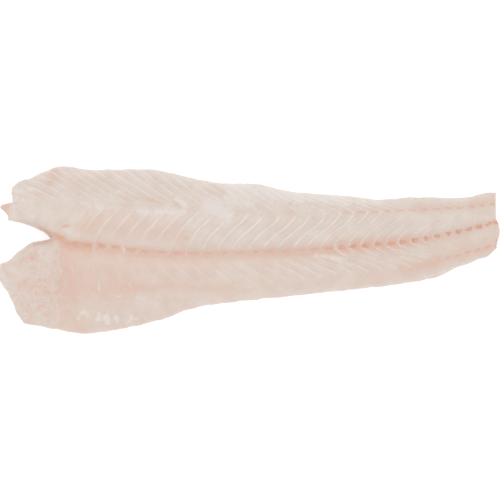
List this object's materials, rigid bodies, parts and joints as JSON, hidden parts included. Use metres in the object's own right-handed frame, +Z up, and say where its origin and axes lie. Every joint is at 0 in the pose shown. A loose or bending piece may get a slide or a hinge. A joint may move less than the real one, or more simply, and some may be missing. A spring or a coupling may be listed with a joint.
{
  "type": "stargazer fillet",
  "caption": "Raw skinless stargazer fillet, bone side up: broad head end with a V notch, W-shaped flakes, red-brown line along the middle, tapering to a cut tail.",
  "frame": {"origin": "centre of the bounding box in plan, on the flat underside the fillet lies on", "axes": "+X along the fillet toward the cut tail, +Y across it toward the back edge, +Z up out of the bone side"},
  "size_m": [0.34, 0.114, 0.0245],
  "materials": {
    "flesh": "wet raw white fish flesh, pale pinkish cream, soft sheen"
  },
  "bodies": {
    "root": {"fillet": "flesh"}
  },
  "joints": []
}
